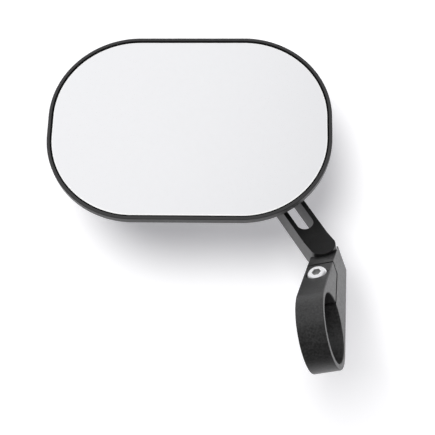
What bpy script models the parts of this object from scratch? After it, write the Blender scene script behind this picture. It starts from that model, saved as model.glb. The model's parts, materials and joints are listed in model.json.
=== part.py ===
"""Handlebar mirror: ring clamp, slotted swing arm, ball-jointed head with a flat glass.

World metres. X runs along the handlebar, Z is up, the glass looks towards -Y.
The origin is the centre of the clamp bore. Dimensions below are millimetres and degrees.
"""
from math import asin, cos, pi, radians, sin, sqrt, tan

import bmesh
import bpy
from mathutils import Matrix, Vector

MM = 0.001

# Clamp
BORE_RADIUS = 12.7
RING_WALL = 2.2
CLAMP_WIDTH = 10.0
REAR_LEAN = 15.0
FRONT_LEAN = 38.0
FRONT_LENGTH = 41.1
TOP_SLOPE = 18.5
STEP_ALONG = 34.5
STEP_SLOPE = 14.5
CHEEK_FROM = 2.6
SLIT_WIDTH = 1.1
SLIT_LEAN = 17.8
SLIT_OFFSET = 4.7
SLIT_OFFSET_Z = 13.3
SLIT_TOP_Z = 27.0
SLIT_EXIT = 24.7
EDGE_BEVEL = 0.35

# Clamp screw
SCREW_ALONG = 16.8
SCREW_SHANK = 2.0
SCREW_LENGTH = 16.4
SCREW_HEAD = 3.6
SCREW_HEAD_HEIGHT = 2.2
SCREW_SOCKET = 3.0
SPOTFACE_DEPTH = 1.75

# Swing arm
ARM_WIDTH = 10.0
ARM_THICK = 10.0
ARM_YAW = 7.5
ARM_PITCH = 16.5
ARM_LEAN = 28.0
ARM_BEND = 12.0
PIVOT_Y = 9.1
PIVOT_Z = 40.4
CREASE_UP = 5.4
SLOT_WIDTH = 6.4
SLOT_START = 8.4
SLOT_END = 45.0
ARM_BEVEL = 0.4

# Arm pivot
PIVOT_SHANK = 2.5
PIVOT_HOLE_DEPTH = 7.6
PIVOT_WASHER = 0.8
PIVOT_HEAD = 4.75
PIVOT_HEAD_HEIGHT = 2.8
TONGUE_THICK = 5.6
TONGUE_ROOT = 32.0
TONGUE_SHOULDER = 42.8
LOCK_WASHER = 1.2

# Ball stud and its fixings
STUD_UP = 39.9
BALL_RADIUS = 5.0
NECK_RADIUS = 2.2
FLANGE_FROM = 8.2
FLANGE_THICK = 2.6
STUD_SHANK = 2.9
FRONT_WASHER = 0.6
REAR_WASHER = 1.2
NUT_FLATS = 10.0
NUT_HEIGHT = 5.0
INSERT_DEPTH = 1.5

# Ball seat
SEAT_WALL = 1.0
SEAT_EDGE = 61.0
SEAT_FRONT_EDGE = 150.0
OPENING_HALF_ANGLE = 56.0
PLATE_RADIUS = 12.0
PLATE_THICK = 3.0
HUB_WALL = 1.0
PLATE_SCREW_CIRCLE = 9.8
PLATE_SCREW_SHANK = 1.0
PLATE_SCREW_HEAD = 1.8
PLATE_SCREW_LENGTH = 6.7
BOSS_DEPTH = 4.3

# Head
HEAD_YAW = 17.3
HEAD_PITCH = -10.8
HEAD_ROLL = -1.9
HEAD_HALF_LENGTH = 55.0
HEAD_HALF_HEIGHT = 38.8
HEAD_CORNER = 34.5
BALL_ALONG = 28.9
BALL_BELOW = 4.4
BALL_BEHIND = 11.2
RIM_WIDTH = 1.25
RIM_PROUD = 0.35
RIM_DEPTH = 2.9
GASKET_WIDTH = 0.35
GLASS_THICK = 2.0
PAD_THICK = 0.6
HOUSING_DEPTH = 7.3
HOUSING_INSET = 30.0
HOUSING_WALL = 1.8
LEDGE_WIDTH = 5.0

# Fits
GAP = 0.3
SLIM_GAP = 0.15
TURNED_STEPS = 32
CORNER_STEPS = 11
SEAM_TURN = 3.1

RING_RADIUS = BORE_RADIUS + RING_WALL
CAVITY_RADIUS = BALL_RADIUS + SEAT_WALL + 2 * GAP


def clearScene():
    for obj in list(bpy.data.objects):
        bpy.data.objects.remove(obj, do_unlink=True)


def collection(name, hidden):
    made = bpy.data.collections.new(name)
    bpy.context.scene.collection.children.link(made)
    made.hide_render = hidden
    return made


def material(name, colour, roughness, metallic):
    made = bpy.data.materials.new(name)
    made.use_nodes = True
    shader = made.node_tree.nodes["Principled BSDF"]
    shader.inputs["Base Color"].default_value = (*colour, 1.0)
    shader.inputs["Roughness"].default_value = roughness
    shader.inputs["Metallic"].default_value = metallic
    made.diffuse_color = (*colour, 1.0)
    return made


def axes(x, y, z, origin):
    """Frame with these unit axes, its origin given in millimetres."""
    frame = Matrix((x, y, z)).transposed().to_4x4()
    frame.translation = Vector(origin) * MM
    return frame


def rotated(frame, degrees, axis):
    return frame @ Matrix.Rotation(radians(degrees), 4, axis)


def moved(frame, x, y, z):
    return frame @ Matrix.Translation(Vector((x, y, z)) * MM)


def addObject(name, mesh, frame, where, look=None):
    obj = bpy.data.objects.new(name, mesh)
    where.objects.link(obj)
    obj.matrix_world = frame
    if look:
        mesh.materials.append(look)
    if where.hide_render:
        obj.hide_render = True
        obj.display_type = "WIRE"
    return obj


def meshFrom(shape, name):
    bmesh.ops.recalc_face_normals(shape, faces=shape.faces[:])
    mesh = bpy.data.meshes.new(name)
    shape.to_mesh(mesh)
    shape.free()
    mesh.set_sharp_from_angle(angle=radians(32))
    return mesh


def prismMesh(name, outline, low, high):
    """Outline in local XY, extruded along local Z."""
    shape = bmesh.new()
    ring = [shape.verts.new((x * MM, y * MM, low * MM)) for x, y in outline]
    face = shape.faces.new(ring)
    made = bmesh.ops.extrude_face_region(shape, geom=[face])["geom"]
    top = [item for item in made if isinstance(item, bmesh.types.BMVert)]
    bmesh.ops.translate(shape, verts=top, vec=(0, 0, (high - low) * MM))
    return meshFrom(shape, name)


def turned(name, profile, frame, where, look=None, steps=TURNED_STEPS):
    """Solid of revolution about local Z from (radius, height) pairs, outer side top to bottom."""
    closed = min(profile[0][0], profile[-1][0]) > 0
    mesh = bpy.data.meshes.new(name)
    points = [(r * MM, 0, z * MM) for r, z in profile]
    edges = [(i, i + 1) for i in range(len(points) - 1)]
    if closed:
        edges.append((len(points) - 1, 0))
    mesh.from_pydata(points, edges, [])
    obj = addObject(name, mesh, frame, where, look)
    screw = obj.modifiers.new("Screw", "SCREW")
    screw.steps = steps
    screw.render_steps = steps
    screw.use_merge_vertices = True
    screw.merge_threshold = 1e-6
    return obj


def cylinder(name, radius, low, high, frame, where, look=None, steps=TURNED_STEPS):
    profile = [(0, high), (radius, high), (radius, low), (0, low)]
    return turned(name, profile, rotated(frame, SEAM_TURN, "Z"), where, look, steps)


def stepped(name, wide, narrow, frame, where):
    """Counterbored hole: wide is (radius, floor, top), narrow is (radius, bottom)."""
    profile = [(0, wide[2]), (wide[0], wide[2]), (wide[0], wide[1]), (narrow[0], wide[1])]
    profile += [(narrow[0], narrow[1]), (0, narrow[1])]
    return turned(name, profile, rotated(frame, SEAM_TURN, "Z"), where)


def combine(obj, other, operation="DIFFERENCE"):
    boolean = obj.modifiers.new(operation.title(), "BOOLEAN")
    boolean.operation = operation
    boolean.solver = "EXACT"
    boolean.object = other


def bevelled(obj, width, segments=2):
    bevel = obj.modifiers.new("Bevel", "BEVEL")
    bevel.width = width * MM
    bevel.segments = segments
    bevel.limit_method = "ANGLE"
    bevel.angle_limit = radians(30)


def arc(radius, start, end, steps):
    """Points from start to end, in degrees, about the origin."""
    span = [radians(start + (end - start) * i / steps) for i in range(steps + 1)]
    return [(radius * cos(a), radius * sin(a)) for a in span]


def sphereArc(radius, start, end, steps):
    """(radius, height) pairs on a sphere, angles measured from the lower pole."""
    span = [radians(start + (end - start) * i / steps) for i in range(steps + 1)]
    return [(radius * sin(a), -radius * cos(a)) for a in span]


def hexagon(flats):
    return [(flats / sqrt(3) * cos(i * pi / 3), flats / sqrt(3) * sin(i * pi / 3)) for i in range(6)]


def stadium(half, low, high, steps):
    """Slot outline along local Y between the two arc centres."""
    top = [(x, y + high) for x, y in arc(half, 0, 180, steps)]
    return top + [(x, y + low) for x, y in arc(half, 180, 360, steps)]


def roundedRectangle(halfX, halfY, radius):
    points = []
    for quarter, (sx, sy) in enumerate(((1, 1), (-1, 1), (-1, -1), (1, -1))):
        centre = (sx * (halfX - radius), sy * (halfY - radius))
        for x, y in arc(radius, 90 * quarter, 90 * quarter + 90, CORNER_STEPS):
            points.append((centre[0] + x, centre[1] + y))
    return points


def headRing(inset):
    return roundedRectangle(HEAD_HALF_LENGTH - inset, HEAD_HALF_HEIGHT - inset, HEAD_CORNER - inset)


def stackMesh(name, levels, closed):
    """Head outlines at (inset, height) levels joined in order; an open stack gets end caps."""
    shape = bmesh.new()
    rings = []
    for inset, height in levels:
        ring = [
            ((x - BALL_ALONG) * MM, (y + BALL_BELOW) * MM, (height + BALL_BEHIND) * MM)
            for x, y in headRing(inset)
        ]
        rings.append([shape.verts.new(point) for point in ring])
    pairs = list(zip(rings, rings[1:]))
    if closed:
        pairs.append((rings[-1], rings[0]))
    for lower, upper in pairs:
        for i in range(len(lower)):
            j = (i + 1) % len(lower)
            shape.faces.new((lower[i], lower[j], upper[j], upper[i]))
    if not closed:
        shape.faces.new(rings[0])
        shape.faces.new(rings[-1])
    return meshFrom(shape, name)


def buttonScrew(name, frame, size, socket, look, where, cutters):
    """Button-head socket screw; local Z points out of the head, z = 0 under the head."""
    head, height, shank, length = size
    crown = [(head * (0.74 + 0.26 * t), height * (1 - 0.45 * t * t)) for t in (0, 0.35, 0.6, 0.8, 1)]
    profile = [(0, height), *crown, (head, 0), (shank, 0), (shank, -length + 0.4)]
    profile += [(shank - 0.4, -length), (0, -length)]
    obj = turned(name, profile, frame, where, look)
    flats, depth = socket
    mesh = prismMesh(name + "_hex", hexagon(flats), height - depth, height + 1)
    combine(obj, addObject(name + "_hex", mesh, frame, cutters))
    return obj


def clampOutline():
    rear = arc(RING_RADIUS, -REAR_LEAN, -180 - FRONT_LEAN, 44)
    startY, startZ = rear[-1]
    lean = radians(FRONT_LEAN)
    shoulder = (startY + FRONT_LENGTH * sin(lean), startZ + FRONT_LENGTH * cos(lean))
    slope, back = radians(TOP_SLOPE), radians(REAR_LEAN)
    drop = (shoulder[0] - rear[0][0], shoulder[1] - rear[0][1])
    run = (drop[1] * sin(back) - drop[0] * cos(back)) / (cos(slope) * cos(back) + sin(slope) * sin(back))
    return rear + [shoulder, (shoulder[0] + run * cos(slope), shoulder[1] - run * sin(slope))]


def stepOutline():
    """Everything above the arm's step, open to the side that the arm leans to."""
    lean, slope = radians(FRONT_LEAN), radians(STEP_SLOPE)
    front = Vector((-RING_RADIUS * cos(lean), RING_RADIUS * sin(lean)))
    front += STEP_ALONG * Vector((sin(lean), cos(lean)))
    low = front + 6 * Vector((-cos(slope), sin(slope)))
    far = front + 22 * Vector((cos(slope), -sin(slope)))
    return [low[:], far[:], (far.x, far.y + 20), (low.x, far.y + 20)]


def slitOutline():
    """Bent saw slit from the bore up, then forward out of the front face."""
    lean, out, half = radians(SLIT_LEAN), radians(SLIT_EXIT), SLIT_WIDTH / 2
    rise = SLIT_TOP_Z - SLIT_OFFSET_Z
    low = Vector((SLIT_OFFSET - 5 * tan(lean), SLIT_OFFSET_Z - 5))
    top = Vector((SLIT_OFFSET + rise * tan(lean), SLIT_TOP_Z))
    end = top + 12 * Vector((-cos(out), sin(out)))
    first = (top - low).normalized().orthogonal() * half
    last = (end - top).normalized().orthogonal() * half
    middle = (first + last) / (1 + first.dot(last) / half**2)
    path = ((low, first), (top, middle), (end, last))
    left = [(point + side)[:] for point, side in path]
    return left + [(point - side)[:] for point, side in reversed(path)]


def clampFrames():
    profile = axes((0, 1, 0), (0, 0, 1), (1, 0, 0), (0, 0, 0))
    lean = radians(FRONT_LEAN)
    onRing = (-RING_RADIUS * cos(lean), RING_RADIUS * sin(lean))
    foot = (0, onRing[0] + SCREW_ALONG * sin(lean), onRing[1] + SCREW_ALONG * cos(lean))
    square = radians(SLIT_LEAN)
    outward = (0, -cos(square), sin(square))
    screw = axes((1, 0, 0), Vector(outward).cross((1, 0, 0)), outward, foot)
    return profile, screw


def armFrames():
    """Arm seat frame (X across, Y up the arm, Z out of the front face) and the frame above the bend."""
    yaw, pitch, lean = radians(ARM_YAW), radians(ARM_PITCH), radians(ARM_LEAN)
    front = Vector((sin(yaw) * cos(pitch), -cos(yaw) * cos(pitch), sin(pitch)))
    up = (Vector((0, 0, 1)) - front * front.z).normalized()
    right = up.cross(front)
    across = cos(lean) * right + sin(lean) * up
    along = cos(lean) * up - sin(lean) * right
    seat = axes(across, along, front, (0, PIVOT_Y, PIVOT_Z))
    return seat, rotated(moved(seat, 0, CREASE_UP, 0), ARM_BEND, "X")


def headFrame(ball):
    yaw, pitch, roll = radians(HEAD_YAW), radians(HEAD_PITCH), radians(HEAD_ROLL)
    normal = Vector((sin(yaw) * cos(pitch), -cos(yaw) * cos(pitch), sin(pitch)))
    level = Vector((cos(yaw), sin(yaw), 0))
    upright = normal.cross(level)
    length = cos(roll) * level + sin(roll) * upright
    frame = axes(length, normal.cross(length), normal, (0, 0, 0))
    frame.translation = ball
    return frame


def tongueMesh(seat):
    """Hull from the clamp block up round the pivot axis, in world metres."""
    shape = bmesh.new()
    front = -(ARM_THICK + PIVOT_WASHER + 2 * GAP)
    for depth in (front + 0.6, front - TONGUE_THICK - 0.6):
        for x, y in arc(ARM_WIDTH / 2, 0, 352.5, 47):
            shape.verts.new(seat @ Vector((x * MM, y * MM, depth * MM)))
    half = CLAMP_WIDTH / 2 - 0.02
    lean = radians(REAR_LEAN)
    base, tip = TONGUE_ROOT, TONGUE_SHOULDER
    for along, inset in ((base, 0.05), (base, TONGUE_THICK), (tip, 0.05), (tip - 1, TONGUE_THICK - 0.5)):
        rearY = RING_RADIUS * cos(lean) + along * sin(lean) - inset
        rearZ = along * cos(lean) - RING_RADIUS * sin(lean)
        for side in (-half, half - 0.4):
            shape.verts.new((side * MM, rearY * MM, rearZ * MM))
    bmesh.ops.convex_hull(shape, input=shape.verts[:])
    loose = [vert for vert in shape.verts if not vert.link_faces]
    bmesh.ops.delete(shape, geom=loose, context="VERTS")
    return meshFrom(shape, "tongue")


def buildClamp(seat, looks, parts, cutters):
    profile, screw = clampFrames()
    half = CLAMP_WIDTH / 2
    clamp = addObject("clamp_body", prismMesh("clamp_body", clampOutline(), -half, half), profile, parts,
                      looks["clamp"])
    bevelled(clamp, EDGE_BEVEL)
    step = prismMesh("step", stepOutline(), -half - 3, CHEEK_FROM)
    combine(clamp, addObject("step", step, profile, cutters))
    combine(clamp, addObject("tongue", tongueMesh(seat), Matrix.Identity(4), cutters), "UNION")
    flare = [(0, 9), (BORE_RADIUS + 3.9, 9), (BORE_RADIUS, half - 0.25), (BORE_RADIUS, 0.25 - half)]
    flare += [(BORE_RADIUS + 3.9, -9), (0, -9)]
    combine(clamp, turned("bore", flare, profile, cutters, steps=72))
    combine(clamp, addObject("slit", prismMesh("slit", slitOutline(), -half - 2, half + 2), profile, cutters))
    spot = (SCREW_HEAD + GAP + SLIM_GAP, -SPOTFACE_DEPTH, 3)
    hole = (SCREW_SHANK + GAP, -SPOTFACE_DEPTH - SCREW_LENGTH - GAP)
    combine(clamp, stepped("screw_hole", spot, hole, screw, cutters))
    tongueFront = -(ARM_THICK + PIVOT_WASHER + 2 * GAP)
    seatRadius = ARM_WIDTH / 2 + GAP + 0.1
    combine(clamp, cylinder("arm_seat", seatRadius, tongueFront, 9, seat, cutters, steps=40))
    tongueRear = tongueFront - TONGUE_THICK
    rearward = rotated(moved(seat, 0, 0, tongueRear), 180, "X")
    spot = (PIVOT_HEAD + GAP, 0, 7)
    hole = (PIVOT_SHANK + GAP, -TONGUE_THICK - 2)
    combine(clamp, stepped("pivot_hole", spot, hole, rearward, cutters))
    under = moved(screw, 0, 0, GAP - SPOTFACE_DEPTH)
    size = (SCREW_HEAD, SCREW_HEAD_HEIGHT, SCREW_SHANK, SCREW_LENGTH)
    buttonScrew("clamp_screw", under, size, (SCREW_SOCKET, 1.3), looks["screw"], parts, cutters)


def linkMesh():
    shape = bmesh.new()
    outline = stadium(ARM_WIDTH / 2, 0, CREASE_UP + SLOT_END, 16)
    ring = [shape.verts.new((x * MM, y * MM, 0)) for x, y in outline]
    face = shape.faces.new(ring)
    made = bmesh.ops.extrude_face_region(shape, geom=[face])["geom"]
    back = [item for item in made if isinstance(item, bmesh.types.BMVert)]
    bmesh.ops.translate(shape, verts=back, vec=(0, 0, -ARM_THICK * MM))
    every = shape.verts[:] + shape.edges[:] + shape.faces[:]
    crease = CREASE_UP * MM
    bmesh.ops.bisect_plane(shape, geom=every, dist=1e-7, plane_co=(0, crease, 0), plane_no=(0, 1, 0))
    turn = Matrix.Rotation(radians(ARM_BEND), 3, "X")
    for vert in shape.verts:
        above = vert.co.y - crease
        if above > 1e-6:
            lifted = turn @ Vector((0, above, vert.co.z))
            vert.co = (vert.co.x, crease + lifted.y, lifted.z)
        elif above > -1e-6:
            vert.co.y += -vert.co.z * tan(radians(ARM_BEND / 2))
    return meshFrom(shape, "arm_link")


def buildArm(seat, upper, looks, parts, cutters):
    link = addObject("arm_link", linkMesh(), seat, parts, looks["arm"])
    bevelled(link, ARM_BEVEL)
    slot = stadium(SLOT_WIDTH / 2, SLOT_START, SLOT_END, 14)
    combine(link, addObject("slot", prismMesh("slot_cut", slot, -ARM_THICK - 4, 4), upper, cutters))
    hole = PIVOT_SHANK + GAP
    combine(link, cylinder("pivot_thread", hole, -ARM_THICK - 3, PIVOT_HOLE_DEPTH - ARM_THICK, seat, cutters))


def washer(name, outer, inner, low, thick, frame, where, look):
    edge = 0.12
    profile = [(outer - edge, low + thick), (outer, low + thick - edge), (outer, low + edge)]
    profile += [(outer - edge, low), (inner, low), (inner, low + thick)]
    return turned(name, profile, frame, where, look)


def buildPivot(seat, looks, parts, cutters):
    washerTop = -ARM_THICK - GAP
    hole = PIVOT_SHANK + GAP
    washer("pivot_washer", ARM_WIDTH / 2 - 0.3, hole, washerTop - PIVOT_WASHER, PIVOT_WASHER, seat, parts,
           looks["polymer"])
    rear = washerTop - PIVOT_WASHER - GAP - TONGUE_THICK
    washer("pivot_lock_washer", PIVOT_HEAD - 0.15, hole, rear - GAP - LOCK_WASHER, LOCK_WASHER, seat, parts,
           looks["steel"])
    under = rear - 2 * GAP - LOCK_WASHER
    frame = rotated(moved(seat, 0, 0, under), 180, "X")
    length = -under - (ARM_THICK - PIVOT_HOLE_DEPTH) - 0.5
    size = (PIVOT_HEAD, PIVOT_HEAD_HEIGHT, PIVOT_SHANK, length)
    buttonScrew("pivot_screw", frame, size, (3.0, 1.6), looks["screw"], parts, cutters)


def studProfile():
    neckTurn = 180 - asin(NECK_RADIUS / BALL_RADIUS) * 180 / pi
    profile = [(x, -y) for x, y in sphereArc(BALL_RADIUS, 0, neckTurn, 15)]
    flangeEnd = FLANGE_FROM + FLANGE_THICK
    flange = BALL_RADIUS
    end = flangeEnd + 2 * GAP + FRONT_WASHER + ARM_THICK + 2 * GAP + REAR_WASHER + NUT_HEIGHT + 1.0
    profile += [(NECK_RADIUS, -FLANGE_FROM), (flange - 0.2, -FLANGE_FROM), (flange, -FLANGE_FROM - 0.2)]
    profile += [(flange, 0.2 - flangeEnd), (flange - 0.2, -flangeEnd), (STUD_SHANK, -flangeEnd)]
    profile += [(STUD_SHANK, 0.5 - end), (STUD_SHANK - 0.5, -end), (0, -end)]
    return profile


def buildStud(stud, looks, parts, cutters):
    """Ball stud clamped through the arm slot; local Z forward, origin at the ball centre."""
    turned("ball_stud", studProfile(), stud, parts, looks["steel"])
    front = -(FLANGE_FROM + FLANGE_THICK + GAP)
    hole = STUD_SHANK + GAP
    washer("slot_washer_front", ARM_WIDTH / 2, hole, front - FRONT_WASHER, FRONT_WASHER, stud, parts,
           looks["polymer"])
    rear = front - FRONT_WASHER - GAP - ARM_THICK - GAP
    washer("slot_washer_rear", ARM_WIDTH / 2, hole, rear - REAR_WASHER, REAR_WASHER, stud, parts, looks["steel"])
    top = rear - REAR_WASHER - GAP
    low = top - NUT_HEIGHT
    nut = addObject("lock_nut", prismMesh("lock_nut", hexagon(NUT_FLATS), low, top), stud, parts, looks["nut"])
    corner, flat = NUT_FLATS / sqrt(3) + 0.3, NUT_FLATS / 2 - 0.1
    barrel = [(0, top + 0.1), (flat, top + 0.1), (corner, top - 0.7), (corner, low + 0.9), (flat, low - 0.1)]
    turn = rotated(stud, SEAM_TURN, "Z")
    combine(nut, turned("nut_barrel", barrel + [(0, low - 0.1)], turn, cutters), "INTERSECT")
    combine(nut, cylinder("nut_bore", hole, low - 1, top + 1, stud, cutters))
    pocket = STUD_SHANK + 2 * GAP + 0.8
    combine(nut, cylinder("nut_pocket", pocket, low - 1, low + INSERT_DEPTH, stud, cutters))
    washer("nut_insert", pocket - GAP, hole, low + 0.1, INSERT_DEPTH - GAP - 0.1, stud, parts, looks["insert"])


def buildSeat(head, looks, parts):
    inner, outer = BALL_RADIUS + GAP, BALL_RADIUS + GAP + SEAT_WALL
    rear = sphereArc(outer, 89, SEAT_EDGE, 3) + sphereArc(inner, SEAT_EDGE, 89, 3)
    turned("ball_seat_rear", rear, head, parts, looks["seat"])
    front = sphereArc(outer, SEAT_FRONT_EDGE, 91, 7) + sphereArc(inner, 91, SEAT_FRONT_EDGE, 7)
    turned("ball_seat_front", front, head, parts, looks["seat"])


def plateProfile():
    hub = CAVITY_RADIUS + HUB_WALL
    top = BALL_BEHIND - GLASS_THICK - PAD_THICK - GAP - 0.5
    flangeTop = GAP + PLATE_THICK
    start = 90 + asin(GAP / CAVITY_RADIUS) * 180 / pi
    profile = [(0, top), (4.5, top), (hub, top - 2.6), (hub, flangeTop), (PLATE_RADIUS - 0.3, flangeTop)]
    profile += [(PLATE_RADIUS, flangeTop - 0.3), (PLATE_RADIUS, GAP)]
    cavity = sphereArc(CAVITY_RADIUS, start, 180, 9)
    return profile + cavity[:-1] + [(0, CAVITY_RADIUS)]


def buildPlate(head, looks, parts, cutters):
    plate = turned("ball_clamp_plate", plateProfile(), head, parts, looks["plate"])
    holes = []
    for number in (1, 2, 3):
        turn = radians(90 + 120 * number)
        place = moved(head, PLATE_SCREW_CIRCLE * cos(turn), PLATE_SCREW_CIRCLE * sin(turn), 0)
        hole = cylinder(f"plate_hole_{number}", PLATE_SCREW_SHANK + GAP, -PLATE_SCREW_LENGTH + 3.0, 5, place,
                        cutters, steps=16)
        combine(plate, hole)
        holes.append(hole)
        under = moved(place, 0, 0, 2 * GAP + PLATE_THICK)
        size = (PLATE_SCREW_HEAD, 1.5, PLATE_SCREW_SHANK, PLATE_SCREW_LENGTH)
        screw = buttonScrew(f"plate_screw_{number}", under, size, (1.3, 0.8), looks["small"], parts, cutters)
        screw.modifiers["Screw"].steps = 16
        screw.modifiers["Screw"].render_steps = 16
    return holes


def housingLevels():
    start = -RIM_DEPTH - GAP
    levels = []
    for i in range(9):
        turn = radians(90 - 11.25 * i)
        levels.append((0.4 + HOUSING_INSET * (1 - cos(turn)), start - 0.5 - (HOUSING_DEPTH - 0.5) * sin(turn)))
    levels += [(0.4, start - 0.1), (0.55, start), (LEDGE_WIDTH + 0.4, start)]
    reach = HOUSING_INSET - LEDGE_WIDTH
    for i in range(7):
        turn = radians(15 * i)
        inset = LEDGE_WIDTH + 0.4 + reach * (1 - cos(turn))
        levels.append((inset, start - 0.4 - (HOUSING_DEPTH - HOUSING_WALL - 0.4) * sin(turn)))
    return levels


def buildHead(head, holes, looks, parts, cutters):
    frontLip = -RIM_DEPTH
    rim = [(0, frontLip), (0, RIM_PROUD - 0.45), (0.13, RIM_PROUD - 0.13), (0.45, RIM_PROUD)]
    rim += [(RIM_WIDTH - 0.15, RIM_PROUD), (RIM_WIDTH, RIM_PROUD - 0.15), (RIM_WIDTH, frontLip)]
    addObject("front_rim", stackMesh("front_rim", rim, True), head, parts, looks["rim"])
    near = RIM_WIDTH + SLIM_GAP
    far = near + GASKET_WIDTH
    gasket = [(near, -GLASS_THICK), (near, 0), (far, 0), (far, -GLASS_THICK)]
    addObject("rim_gasket", stackMesh("rim_gasket", gasket, True), head, parts, looks["gasket"])
    edge = far + SLIM_GAP
    glass = [(edge, -GLASS_THICK), (edge, -0.15), (edge + 0.15, 0)]
    addObject("mirror_glass", stackMesh("mirror_glass", glass, False), head, parts, looks["glass"])
    pad = [(edge + 0.5, -GLASS_THICK - GAP - PAD_THICK), (edge + 0.5, -GLASS_THICK - GAP)]
    addObject("glass_backing", stackMesh("glass_backing", pad, False), head, parts, looks["pad"])
    housing = addObject("rear_housing", stackMesh("rear_housing", housingLevels(), False), head, parts,
                        looks["housing"])
    boss = [(0, 4), (14, 4), (14, -0.4), (12.9, 1.1 - BOSS_DEPTH), (11.8, -BOSS_DEPTH), (0, -BOSS_DEPTH)]
    combine(housing, turned("boss", boss, head, cutters, steps=40), "UNION")
    pocket = PLATE_RADIUS + GAP
    well = [(0, 20), (pocket, 20), (pocket, 0), *sphereArc(CAVITY_RADIUS, 90, OPENING_HALF_ANGLE, 5)]
    slope = tan(radians(OPENING_HALF_ANGLE))
    well += [(8 * slope, -8), (0, -8)]
    combine(housing, turned("well", well, head, cutters, steps=40))
    for hole in holes:
        combine(housing, hole)


def paints():
    return {
        "clamp": material("clamp_black_alloy", (0.055, 0.053, 0.052), 0.5, 0.6),
        "arm": material("arm_black_alloy", (0.04, 0.039, 0.039), 0.42, 0.6),
        "screw": material("screw_stainless", (0.78, 0.78, 0.8), 0.25, 1.0),
        "small": material("small_screw_steel", (0.5, 0.5, 0.52), 0.35, 1.0),
        "steel": material("zinc_steel", (0.6, 0.6, 0.62), 0.35, 1.0),
        "nut": material("nut_steel", (0.55, 0.55, 0.57), 0.4, 1.0),
        "insert": material("nylon_insert", (0.1, 0.25, 0.6), 0.5, 0.0),
        "polymer": material("polymer_washer", (0.03, 0.03, 0.03), 0.55, 0.0),
        "seat": material("acetal_seat", (0.85, 0.85, 0.83), 0.4, 0.0),
        "plate": material("clamp_plate_polymer", (0.035, 0.035, 0.037), 0.5, 0.0),
        "housing": material("housing_black_polymer", (0.03, 0.03, 0.031), 0.5, 0.0),
        "rim": material("rim_grey_polymer", (0.07, 0.069, 0.07), 0.45, 0.0),
        "gasket": material("gasket_rubber", (0.012, 0.012, 0.012), 0.7, 0.0),
        "glass": material("mirror_coating", (0.93, 0.94, 0.95), 0.02, 1.0),
        "pad": material("backing_foam", (0.15, 0.15, 0.15), 0.9, 0.0),
    }


def main():
    clearScene()
    parts = collection("handlebar_mirror", False)
    cutters = collection("cutters", True)
    looks = paints()
    seat, upper = armFrames()
    stud = moved(upper, 0, STUD_UP, FLANGE_FROM + FLANGE_THICK + 2 * GAP + FRONT_WASHER)
    head = headFrame(stud.translation)
    buildClamp(seat, looks, parts, cutters)
    buildArm(seat, upper, looks, parts, cutters)
    buildPivot(seat, looks, parts, cutters)
    buildStud(stud, looks, parts, cutters)
    buildSeat(head, looks, parts)
    holes = buildPlate(head, looks, parts, cutters)
    buildHead(head, holes, looks, parts, cutters)
    for obj in parts.objects:
        for face in obj.data.polygons:
            face.use_smooth = True


main()
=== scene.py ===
import json
from math import cos, pi, radians, sin, tan

import bmesh
import bpy
from mathutils import Matrix, Vector


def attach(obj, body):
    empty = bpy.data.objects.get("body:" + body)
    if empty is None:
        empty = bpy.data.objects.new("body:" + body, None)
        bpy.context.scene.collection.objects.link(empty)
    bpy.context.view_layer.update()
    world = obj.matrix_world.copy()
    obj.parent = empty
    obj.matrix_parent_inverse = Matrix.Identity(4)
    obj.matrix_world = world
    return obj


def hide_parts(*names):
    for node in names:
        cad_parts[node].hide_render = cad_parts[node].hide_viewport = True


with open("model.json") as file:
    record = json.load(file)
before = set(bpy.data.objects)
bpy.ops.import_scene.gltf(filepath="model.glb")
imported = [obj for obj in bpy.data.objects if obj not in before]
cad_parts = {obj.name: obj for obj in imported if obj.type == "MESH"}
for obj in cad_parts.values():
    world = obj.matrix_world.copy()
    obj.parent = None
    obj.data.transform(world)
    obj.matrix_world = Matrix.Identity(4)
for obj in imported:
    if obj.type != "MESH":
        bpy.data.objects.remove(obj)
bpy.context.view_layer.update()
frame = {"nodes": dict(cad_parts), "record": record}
record = frame["record"]
joints = {joint["name"]: joint for joint in record["behaviour"]["joints"]}
mm = 0.001


def axisOf(jointName):
    return Vector(joints[jointName]["axis"]).normalized()


def placeOf(jointName):
    return Vector(joints[jointName]["pos_m"])


def frameFrom(across, along, out, origin):
    place = Matrix((across, along, out)).transposed().to_4x4()
    place.translation = origin
    return place


# the frames of the moving parts come from their joints
armOut = axisOf("arm_pivot")
upperAlong = axisOf("stud_slide")
upperOut = axisOf("stud_swivel")
armAcross = upperAlong.cross(upperOut).normalized()
armFrame = frameFrom(armAcross, armOut.cross(armAcross), armOut, placeOf("arm_pivot"))
headOut = axisOf("ball_tilt").cross(axisOf("ball_pan"))
headFrame = frameFrom(axisOf("ball_tilt"), axisOf("ball_pan"), headOut, placeOf("ball_pan"))


def socketIn(group, name, kind, value):
    made = group.interface.new_socket(name=name, in_out="INPUT", socket_type=kind)
    made.default_value = value
    return made


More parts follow.
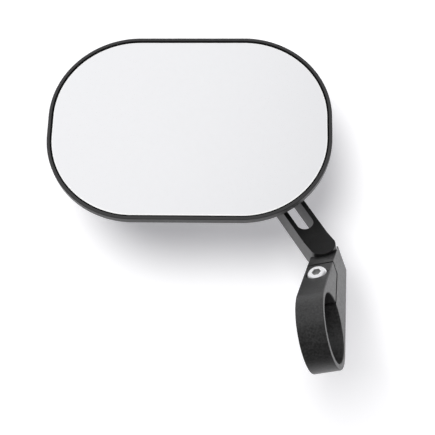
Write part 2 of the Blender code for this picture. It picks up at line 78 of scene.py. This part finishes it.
def grainGroup():
    group = bpy.data.node_groups.new("fineGrain", "ShaderNodeTree")
    socketIn(group, "Dark", "NodeSocketColor", (0.02, 0.02, 0.02, 1))
    socketIn(group, "Light", "NodeSocketColor", (0.04, 0.04, 0.04, 1))
    socketIn(group, "Size", "NodeSocketFloat", 4000.0)
    socketIn(group, "Depth", "NodeSocketFloat", 0.2)
    socketIn(group, "Smooth", "NodeSocketFloat", 0.4)
    socketIn(group, "Rough", "NodeSocketFloat", 0.55)
    group.interface.new_socket(name="Colour", in_out="OUTPUT", socket_type="NodeSocketColor")
    group.interface.new_socket(name="Roughness", in_out="OUTPUT", socket_type="NodeSocketFloat")
    group.interface.new_socket(name="Normal", in_out="OUTPUT", socket_type="NodeSocketVector")
    nodes, links = group.nodes, group.links
    start = nodes.new("NodeGroupInput")
    end = nodes.new("NodeGroupOutput")
    place = nodes.new("ShaderNodeTexCoord")
    fine = nodes.new("ShaderNodeTexNoise")
    fine.inputs["Detail"].default_value = 3.0
    broad = nodes.new("ShaderNodeTexNoise")
    broad.inputs["Scale"].default_value = 90.0
    broad.inputs["Detail"].default_value = 4.0
    links.new(place.outputs["Object"], fine.inputs["Vector"])
    links.new(place.outputs["Object"], broad.inputs["Vector"])
    links.new(start.outputs["Size"], fine.inputs["Scale"])
    blend = nodes.new("ShaderNodeMath")
    blend.operation = "MULTIPLY_ADD"
    blend.inputs[1].default_value = 0.7
    links.new(fine.outputs["Fac"], blend.inputs[0])
    third = nodes.new("ShaderNodeMath")
    third.operation = "MULTIPLY"
    third.inputs[1].default_value = 0.3
    links.new(broad.outputs["Fac"], third.inputs[0])
    links.new(third.outputs[0], blend.inputs[2])
    spread = nodes.new("ShaderNodeMapRange")
    spread.inputs["From Min"].default_value = 0.32
    spread.inputs["From Max"].default_value = 0.68
    links.new(blend.outputs[0], spread.inputs["Value"])
    colour = nodes.new("ShaderNodeMix")
    colour.data_type = "RGBA"
    links.new(spread.outputs["Result"], colour.inputs["Factor"])
    links.new(start.outputs["Dark"], colour.inputs["A"])
    links.new(start.outputs["Light"], colour.inputs["B"])
    rough = nodes.new("ShaderNodeMix")
    links.new(spread.outputs["Result"], rough.inputs["Factor"])
    links.new(start.outputs["Smooth"], rough.inputs["A"])
    links.new(start.outputs["Rough"], rough.inputs["B"])
    bump = nodes.new("ShaderNodeBump")
    bump.inputs["Distance"].default_value = 0.00005
    links.new(start.outputs["Depth"], bump.inputs["Strength"])
    links.new(fine.outputs["Fac"], bump.inputs["Height"])
    links.new(colour.outputs["Result"], end.inputs["Colour"])
    links.new(rough.outputs["Result"], end.inputs["Roughness"])
    links.new(bump.outputs["Normal"], end.inputs["Normal"])
    return group


fineGrain = grainGroup()


def finish(name, dark, light, grainSize, depth, rough, metal, **shaderValues):
    made = bpy.data.materials.new(name)
    made.use_nodes = True
    nodes, links = made.node_tree.nodes, made.node_tree.links
    shader = nodes["Principled BSDF"]
    grain = nodes.new("ShaderNodeGroup")
    grain.node_tree = fineGrain
    grain.inputs["Dark"].default_value = (*dark, 1)
    grain.inputs["Light"].default_value = (*light, 1)
    grain.inputs["Size"].default_value = grainSize
    grain.inputs["Depth"].default_value = depth
    grain.inputs["Smooth"].default_value = rough[0]
    grain.inputs["Rough"].default_value = rough[1]
    links.new(grain.outputs["Colour"], shader.inputs["Base Color"])
    links.new(grain.outputs["Roughness"], shader.inputs["Roughness"])
    links.new(grain.outputs["Normal"], shader.inputs["Normal"])
    shader.inputs["Metallic"].default_value = metal
    for socket, value in shaderValues.items():
        shader.inputs[socket.replace("_", " ")].default_value = value
    made.diffuse_color = (*light, 1)
    return made


def grey(level):
    return (level, level, level)


blastedAlloy = finish("blastedBlackAlloy", grey(0.004), grey(0.036), 1500, 0.9, (0.3, 0.5), 0.0,
                      Specular_IOR_Level=0.6)
satinAlloy = finish("satinBlackAlloy", grey(0.003), grey(0.013), 2400, 0.35, (0.3, 0.42), 0.0,
                    Specular_IOR_Level=0.36)
rimPolymer = finish("mouldedRim", (0.024, 0.0235, 0.024), (0.036, 0.0355, 0.036), 5000, 0.3, (0.4, 0.52), 0.0)
shellPolymer = finish("mouldedShell", grey(0.012), grey(0.024), 3600, 0.6, (0.42, 0.6), 0.0)
# near-black rubber for the seal ring at the glass edge; its very dark tone also paints the shadow in the gap
# between glass and rim
gasketRubberGapShade = finish("gasketRubberGapShade", grey(0.002), grey(0.005), 3000, 0.3, (0.6, 0.75), 0.0,
                      Specular_IOR_Level=0.15)
brightSteel = finish("brightStainless", (0.8, 0.8, 0.81), (0.88, 0.88, 0.89), 1500, 0.06, (0.3, 0.4), 0.7)
# darker steel for the faces inside the screw socket: painted shade in the recess
paintedSocketShade = finish("paintedSocketShade", grey(0.24), grey(0.34), 1500, 0.06, (0.4, 0.5), 0.5)
plainSteel = finish("zincSteel", (0.42, 0.42, 0.43), (0.62, 0.62, 0.64), 2200, 0.15, (0.28, 0.42), 1.0)
blackPolymer = finish("blackPolymer", grey(0.012), grey(0.026), 3000, 0.4, (0.45, 0.6), 0.0)
acetal = finish("naturalAcetal", (0.7, 0.7, 0.67), (0.82, 0.82, 0.79), 1200, 0.1, (0.35, 0.45), 0.0)
nylonBlue = finish("nylonInsert", (0.03, 0.09, 0.34), (0.05, 0.14, 0.45), 1500, 0.15, (0.4, 0.5), 0.0)
foam = finish("adhesiveFoam", grey(0.08), grey(0.16), 1800, 0.8, (0.85, 0.95), 0.0)
silvered = finish("silveredGlass", (0.955, 0.957, 0.965), (0.965, 0.967, 0.975), 400, 0.0, (0.015, 0.03), 1.0,
                  Coat_Weight=0.3, Coat_Roughness=0.01)
groundGlass = finish("groundGlassEdge", grey(0.88), grey(0.96), 3000, 0.1, (0.4, 0.6), 0.0)
print("finishes ready")


def smoothShade(mesh, angle):
    for face in mesh.polygons:
        face.use_smooth = True
    mesh.set_sharp_from_angle(angle=radians(angle))


def addPiece(name, shape, look, body, stands=(), angle=32, recalc=True):
    bmesh.ops.remove_doubles(shape, verts=shape.verts[:], dist=1e-7)
    if recalc:
        bmesh.ops.recalc_face_normals(shape, faces=shape.faces[:])
    mesh = bpy.data.meshes.new(name)
    shape.to_mesh(mesh)
    shape.free()
    smoothShade(mesh, angle)
    mesh.materials.append(look)
    piece = bpy.data.objects.new(name, mesh)
    bpy.context.scene.collection.objects.link(piece)
    even = piece.modifiers.new("evenNormals", "WEIGHTED_NORMAL")
    even.keep_sharp = True
    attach(piece, body)
    if stands:
        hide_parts(*stands)
    return piece


def bodyOf(node):
    return next(body for body, nodes in record["behaviour"]["bodies"].items() if node in nodes)


def polished(node, look, angle=32):
    shape = bmesh.new()
    shape.from_mesh(frame["nodes"][node].data)
    bmesh.ops.remove_doubles(shape, verts=shape.verts[:], dist=2e-6)
    bmesh.ops.dissolve_degenerate(shape, edges=shape.edges[:], dist=1e-6)
    bmesh.ops.dissolve_limit(shape, angle_limit=radians(0.6), verts=shape.verts[:], edges=shape.edges[:],
                             delimit={"NORMAL"})
    return addPiece(node + "_finished", shape, look, bodyOf(node), (node,), angle, recalc=False)


def softenEdges(shape, width, angle):
    sharp = [edge for edge in shape.edges if edge.is_manifold and edge.calc_face_angle(0) > radians(angle)]
    bmesh.ops.bevel(shape, geom=sharp, offset=width * mm, offset_type="OFFSET", affect="EDGES",
                    segments=3, profile=0.5, material=-1, clamp_overlap=True)


def spun(profile, steps):
    shape = bmesh.new()
    line = [shape.verts.new((r * mm, 0, z * mm)) for r, z in profile]
    ends = [shape.edges.new(pair) for pair in zip(line, line[1:])]
    turn = Matrix.Rotation(pi / steps, 3, "Z")
    bmesh.ops.rotate(shape, verts=line, cent=(0, 0, 0), matrix=turn)
    bmesh.ops.spin(shape, geom=line + ends, cent=(0, 0, 0), axis=(0, 0, 1), dvec=(0, 0, 0), angle=2 * pi,
                   steps=steps, use_merge=True, use_duplicate=False)
    bmesh.ops.remove_doubles(shape, verts=shape.verts[:], dist=1e-7)
    return shape


head = {
    "halfLength": 55.0,
    "halfHeight": 38.8,
    "corner": 34.5,
    "ballAlong": 28.9,
    "ballBelow": 4.4,
    "glassAhead": 11.2,
    "steps": 160,
}


def headSpread(shape):
    spreadX = (head["halfLength"] - head["corner"]) * mm
    spreadY = (head["halfHeight"] - head["corner"]) * mm
    for sideX in (-1, 1):
        for sideY in (-1, 1):
            quarter = [v for v in shape.verts if v.co.x * sideX > 1e-6 and v.co.y * sideY > 1e-6]
            bmesh.ops.translate(shape, verts=quarter, vec=(sideX * spreadX, sideY * spreadY, 0))
    offset = Vector((-head["ballAlong"], head["ballBelow"], head["glassAhead"])) * mm
    bmesh.ops.translate(shape, verts=shape.verts[:], vec=offset)
    bmesh.ops.transform(shape, matrix=headFrame, verts=shape.verts[:])
    return shape


def headPiece(name, levels, look, stands, closed, angle=32):
    profile = [(head["corner"] - inset, height) for inset, height in levels]
    if closed:
        profile.append(profile[0])
    return addPiece(name, headSpread(spun(profile, head["steps"])), look, "head", stands, angle)


def roundCorner(centre, radius, start, end, steps):
    return [(centre[0] + radius * cos(radians(start + (end - start) * i / steps)),
             centre[1] + radius * sin(radians(start + (end - start) * i / steps))) for i in range(steps + 1)]


rim = {"width": 1.25, "proud": 0.35, "foot": -2.9, "round": 0.32, "lip": 0.14}


def buildRim():
    # insets grow inwards, so the outer corner turns from 180 to 90 degrees
    levels = roundCorner((rim["round"], rim["proud"] - rim["round"]), rim["round"], 180, 90, 6)
    levels += roundCorner((rim["width"] - rim["lip"], rim["proud"] - rim["lip"]), rim["lip"], 90, 0, 4)
    levels += [(rim["width"], rim["foot"]), (0.25, rim["foot"]), (0.0, rim["foot"] + 0.2)]
    headPiece("front_rim_finished", levels, rimPolymer, ("front_rim",), True)


gasket = {"from": 1.4, "to": 1.75, "foot": -2.0, "round": 0.1}


def buildGasket():
    levels = roundCorner((gasket["from"] + gasket["round"], -gasket["round"]), gasket["round"], 180, 90, 3)
    levels += roundCorner((gasket["to"] - gasket["round"], -gasket["round"]), gasket["round"], 90, 0, 3)
    levels += [(gasket["to"], gasket["foot"]), (gasket["from"], gasket["foot"])]
    headPiece("rim_gasket_finished", levels, gasketRubberGapShade, ("rim_gasket",), True)


glass = {"edge": 1.9, "thick": 2.0, "ground": 0.4, "groundDrop": 0.18}


def buildGlass():
    edge = glass["edge"]
    radius = head["corner"]
    levels = [(radius, 0.0), (edge + glass["ground"], 0.0), (edge, -glass["groundDrop"]),
              (edge, -glass["thick"]), (radius, -glass["thick"])]
    piece = headPiece("mirror_glass_finished", levels, silvered, ("mirror_glass",),
                      False, 8)
    piece.data.materials.append(groundGlass)  # the bevel round the edge is ground, not silvered
    for face in piece.data.polygons:
        if 0.3 < face.normal.dot(headOut) < 0.97:
            face.material_index = 1


pad = {"edge": 2.4, "top": -2.3, "foot": -2.9}


def buildPad():
    radius = head["corner"]
    edge, top, foot = pad["edge"], pad["top"], pad["foot"]
    levels = [(radius, top), (edge, top), (edge, foot), (radius, foot)]
    headPiece("glass_backing_finished", levels, foam, ("glass_backing",), False)


shell = {
    "start": -3.2,
    "depth": 7.3,
    "inset": 30.0,
    "wall": 1.8,
    "gap": 0.4,
    "shoulder": 0.5,
    "ledge": 5.0,
    "bossRadius": 14.0,
    "bossDepth": 4.3,
    "bossRound": 1.2,
    "well": 12.3,
    "cavity": 6.6,
    "openingAngle": 56.0,
    "steps": 96,
}


def buildShell():
    start, depth, gap, radius = shell["start"], shell["depth"], shell["gap"], head["corner"]
    shoulder = shell["shoulder"]
    levels = [(radius, start - depth)]
    for step in range(25):
        turn = radians(90 - 3.75 * step)
        drop = shoulder + (depth - shoulder) * sin(turn)
        levels.append((gap + shell["inset"] * (1 - cos(turn)), start - drop))
    levels += [(gap, start - 0.15), (gap + 0.15, start), (shell["ledge"] + gap, start)]
    reach = shell["inset"] - shell["ledge"]
    hollow = depth - shell["wall"] - gap
    for step in range(13):
        turn = radians(7.5 * step)
        levels.append((shell["ledge"] + gap + reach * (1 - cos(turn)), start - gap - hollow * sin(turn)))
    levels.append((radius, levels[-1][1]))
    piece = headPiece("rear_housing_finished", levels, shellPolymer,
                      ("rear_housing",), False, 28)
    # the boss flares into the shell and holds the ball's well
    outer, foot, bend = shell["bossRadius"], -shell["bossDepth"], shell["bossRound"]
    boss = [(0, 3.0), (outer + 1.6, 3.0), (outer + 1.2, 1.4), (outer + 0.3, 0.5), (outer - 0.1, -0.5)]
    boss += roundCorner((outer - 1.1 - bend, foot + bend), bend, 0, -90, 6)
    boss.append((0, foot))
    cavity, opening = shell["cavity"], radians(shell["openingAngle"])
    well = [(0, 20), (shell["well"], 20), (shell["well"], 0)]
    for angle in (90, 81, 72, 64, shell["openingAngle"]):
        well.append((cavity * sin(radians(angle)), -cavity * cos(radians(angle))))
    well += [(8 * tan(opening), -8), (0, -8)]
    for operation, profile in (("UNION", boss), ("DIFFERENCE", well)):
        cutIn(piece, spun(profile, shell["steps"]), headFrame, operation)
    applyCuts(piece, 28)


def cutIn(piece, shape, place, operation):
    bmesh.ops.transform(shape, matrix=place, verts=shape.verts[:])
    bmesh.ops.recalc_face_normals(shape, faces=shape.faces[:])
    mesh = bpy.data.meshes.new("tool")
    shape.to_mesh(mesh)
    shape.free()
    tool = bpy.data.objects.new("tool", mesh)
    bpy.context.scene.collection.objects.link(tool)
    cut = piece.modifiers.new("cut", "BOOLEAN")
    cut.operation = operation
    cut.solver = "EXACT"
    cut.object = tool


def applyCuts(piece, angle):
    for modifier in list(piece.modifiers):
        if modifier.type == "WEIGHTED_NORMAL":
            piece.modifiers.remove(modifier)
    graph = bpy.context.evaluated_depsgraph_get()
    mesh = bpy.data.meshes.new_from_object(piece.evaluated_get(graph))
    for modifier in list(piece.modifiers):
        tool = modifier.object
        piece.modifiers.remove(modifier)
        bpy.data.objects.remove(tool, do_unlink=True)
    piece.data = mesh
    smoothShade(mesh, angle)
    even = piece.modifiers.new("evenNormals", "WEIGHTED_NORMAL")
    even.keep_sharp = True


buildRim()
buildGasket()
buildGlass()
buildPad()
buildShell()
print("mirror head built")


arm = {
    "half": 5.0,
    "thick": 10.0,
    "crease": 5.4,
    "bend": 12.0,
    "slotHalf": 3.2,
    "slotStart": 8.4,
    "slotEnd": 45.0,
    "edge": 0.45,
    "steps": 96,
    "hole": 2.8,
    "holeDepth": 7.6,
    "chamfer": 0.4,
}


def stadiumLoop(shape, radius, low, high):
    loop = bmesh.ops.create_circle(shape, cap_ends=False, segments=arm["steps"], radius=radius * mm)["verts"]
    bmesh.ops.rotate(shape, verts=loop, cent=(0, 0, 0), matrix=Matrix.Rotation(pi / arm["steps"], 3, "Z"))
    upper = [v for v in loop if v.co.y > 0]
    lower = [v for v in loop if v.co.y < 0]
    bmesh.ops.translate(shape, verts=upper, vec=(0, high * mm, 0))
    bmesh.ops.translate(shape, verts=lower, vec=(0, low * mm, 0))
    return list({edge for v in loop for edge in v.link_edges})


def buildArm():
    shape = bmesh.new()
    top = arm["crease"] + arm["slotEnd"]
    outer = stadiumLoop(shape, arm["half"], 0, top)
    inner = stadiumLoop(shape, arm["slotHalf"], arm["crease"] + arm["slotStart"], top)
    faces = bmesh.ops.bridge_loops(shape, edges=outer + inner)["faces"]
    made = bmesh.ops.extrude_face_region(shape, geom=faces)["geom"]
    back = [item for item in made if isinstance(item, bmesh.types.BMVert)]
    bmesh.ops.translate(shape, verts=back, vec=(0, 0, -arm["thick"] * mm))
    bmesh.ops.recalc_face_normals(shape, faces=shape.faces[:])
    crease = arm["crease"] * mm
    everything = shape.verts[:] + shape.edges[:] + shape.faces[:]
    bmesh.ops.bisect_plane(shape, geom=everything, dist=1e-8, plane_co=(0, crease, 0), plane_no=(0, 1, 0))
    above = [v for v in shape.verts if v.co.y > crease + 1e-7]
    onCrease = [v for v in shape.verts if abs(v.co.y - crease) <= 1e-7]
    for vert in onCrease:
        vert.co.y -= vert.co.z * tan(radians(arm["bend"] / 2))
    fold = Matrix.Rotation(radians(arm["bend"]), 3, "X")
    bmesh.ops.rotate(shape, verts=above, cent=(0, crease, 0), matrix=fold)
    bmesh.ops.dissolve_limit(shape, angle_limit=radians(0.5), verts=shape.verts[:], edges=shape.edges[:])
    softenEdges(shape, arm["edge"], 40)
    bmesh.ops.transform(shape, matrix=armFrame, verts=shape.verts[:])
    piece = addPiece("arm_link_finished", shape, satinAlloy, "arm", ("arm_link",), 32)
    # blind hole for the pivot screw, from the back
    width, chamfer, thick = arm["hole"], arm["chamfer"], arm["thick"]
    depth = thick - arm["holeDepth"]
    hole = [(0, -depth), (width - chamfer, -depth), (width, -depth - chamfer), (width, -thick + 0.3)]
    hole += [(width + 1.3, -thick - 1), (0, -thick - 1)]
    cutIn(piece, spun(hole, 48), armFrame, "DIFFERENCE")
    applyCuts(piece, 32)
    # the shallow crease stays a crisp line
    local = [armFrame.inverted() @ vert.co for vert in piece.data.vertices]
    lean = tan(radians(arm["bend"] / 2))
    for edge in piece.data.edges:
        if all(abs(local[end].y - crease + local[end].z * lean) < 0.02 * mm for end in edge.vertices):
            edge.use_edge_sharp = True


buildArm()
print("swing arm built")


def paintSocketShade(piece, jointName, reach, depth, look):
    # the faces inside a screw's hexagon socket take a darker steel, painted shade for the recess
    piece.data.materials.append(look)
    axis, start = axisOf(jointName), placeOf(jointName)
    top = max((vert.co - start).dot(axis) for vert in piece.data.vertices)
    for face in piece.data.polygons:
        out = face.center - start
        height = out.dot(axis)
        if top - depth - 0.2 * mm < height < top - 0.2 * mm and (out - height * axis).length < reach:
            face.material_index = 1


polished("clamp_body", blastedAlloy, 34)
for node, look in {
    "clamp_screw": brightSteel,
    "pivot_screw": brightSteel,
    "pivot_washer": blackPolymer,
    "pivot_lock_washer": plainSteel,
    "slot_washer_front": blackPolymer,
    "slot_washer_rear": plainSteel,
    "ball_stud": plainSteel,
    "lock_nut": plainSteel,
    "nut_insert": nylonBlue,
    "ball_seat_rear": acetal,
    "ball_seat_front": acetal,
    "ball_clamp_plate": blackPolymer,
    "plate_screw_1": plainSteel,
    "plate_screw_2": plainSteel,
    "plate_screw_3": plainSteel,
}.items():
    made = polished(node, look, 30)
    if node == "clamp_screw":
        # the clamp screw's hexagon socket gets painted shade
        paintSocketShade(made, "clamp_screw_turn", 1.8 * mm, 1.3 * mm, paintedSocketShade)
print("clamp and fasteners built")


view = {
    "azimuth": 19.8,
    "elevation": -32.7,
    "lens": 99.3,
    "sensor": 36.0,
    "place": (0.09345, -0.3668, -0.1947),
    "backdropBehind": 0.108,
}

turn, tilt = radians(view["azimuth"]), radians(view["elevation"])
towards = Vector((sin(turn) * cos(tilt), -cos(turn) * cos(tilt), sin(tilt)))  # from the object to the camera
right = Vector((cos(turn), sin(turn), 0))
upright = towards.cross(right)

cameraData = bpy.data.cameras.new("camera")
cameraData.lens = view["lens"]
cameraData.sensor_width = view["sensor"]
cameraData.clip_start = 0.01
cameraData.dof.use_dof = False
camera = bpy.data.objects.new("camera", cameraData)
camera.matrix_world = frameFrom(right, upright, towards, Vector(view["place"]))
bpy.context.scene.collection.objects.link(camera)
bpy.context.scene.camera = camera


def backdropMaterial():
    made = bpy.data.materials.new("whitePaper")
    made.use_nodes = True
    nodes, links = made.node_tree.nodes, made.node_tree.links
    shader = nodes["Principled BSDF"]
    shader.inputs["Base Color"].default_value = (0.93, 0.93, 0.93, 1)
    shader.inputs["Roughness"].default_value = 0.9
    shader.inputs["Specular IOR Level"].default_value = 0.1
    shader.inputs["Emission Color"].default_value = (0.95, 0.94, 1.0, 1)
    shader.inputs["Emission Strength"].default_value = 0.24
    clear = nodes.new("ShaderNodeBsdfTransparent")
    mix = nodes.new("ShaderNodeMixShader")
    side = nodes.new("ShaderNodeNewGeometry")
    links.new(side.outputs["Backfacing"], mix.inputs["Fac"])
    links.new(shader.outputs["BSDF"], mix.inputs[1])
    links.new(clear.outputs["BSDF"], mix.inputs[2])
    links.new(mix.outputs["Shader"], nodes["Material Output"].inputs["Surface"])
    return made


def buildBackdrop():
    shape = bmesh.new()
    bmesh.ops.create_grid(shape, x_segments=1, y_segments=1, size=0.9)
    centre = -towards * view["backdropBehind"]
    bmesh.ops.transform(shape, matrix=frameFrom(right, upright, towards, centre), verts=shape.verts[:])
    mesh = bpy.data.meshes.new("backdrop")
    shape.to_mesh(mesh)
    shape.free()
    mesh.materials.append(backdropMaterial())
    backdrop = bpy.data.objects.new("backdrop", mesh)
    bpy.context.scene.collection.objects.link(backdrop)


def softLight(name, offset, size, power):
    data = bpy.data.lights.new(name, "AREA")
    data.shape = "DISK"
    data.size = size
    data.energy = power
    lamp = bpy.data.objects.new(name, data)
    lamp.visible_glossy = False
    middle = Vector((-0.025, -0.01, 0.06))
    place = middle + right * offset[0] + upright * offset[1] + towards * offset[2]
    back = (place - middle).normalized()
    side = upright.cross(back).normalized()
    lamp.matrix_world = frameFrom(side, back.cross(side), back, place)
    bpy.context.scene.collection.objects.link(lamp)
    return lamp


room = {
    "panelTowards": (-0.05, -0.93, 0.364),  # the middle of a broad bright panel in front
    "panelFade": 49.0,
    "panelFull": 8.0,
    "panel": 0.94,
    "dim": 0.12,
}


def buildWorld():
    world = bpy.data.worlds.new("paleRoom")
    world.use_nodes = True
    nodes, links = world.node_tree.nodes, world.node_tree.links
    place = nodes.new("ShaderNodeTexCoord")
    split = nodes.new("ShaderNodeVectorMath")
    split.operation = "DOT_PRODUCT"
    split.inputs[1].default_value = room["panelTowards"]
    ramp = nodes.new("ShaderNodeMapRange")
    ramp.interpolation_type = "SMOOTHSTEP"
    ramp.inputs["From Min"].default_value = cos(radians(room["panelFade"]))
    ramp.inputs["From Max"].default_value = cos(radians(room["panelFull"]))
    ramp.inputs["To Min"].default_value = room["dim"]
    ramp.inputs["To Max"].default_value = room["panel"]
    links.new(place.outputs["Generated"], split.inputs[0])
    links.new(split.outputs["Value"], ramp.inputs["Value"])
    links.new(ramp.outputs["Result"], nodes["Background"].inputs["Strength"])
    nodes["Background"].inputs["Color"].default_value = (0.985, 0.985, 1.0, 1)
    bpy.context.scene.world = world


buildBackdrop()
buildWorld()
softLight("keyLight", (-0.17, 0.21, 1.0), 0.36, 9.0)
softLight("fillLight", (0.7, 0.1, 0.6), 0.6, 1.0)
bpy.context.scene.view_settings.view_transform = "Standard"
bpy.context.scene.view_settings.look = "None"
print("studio ready")
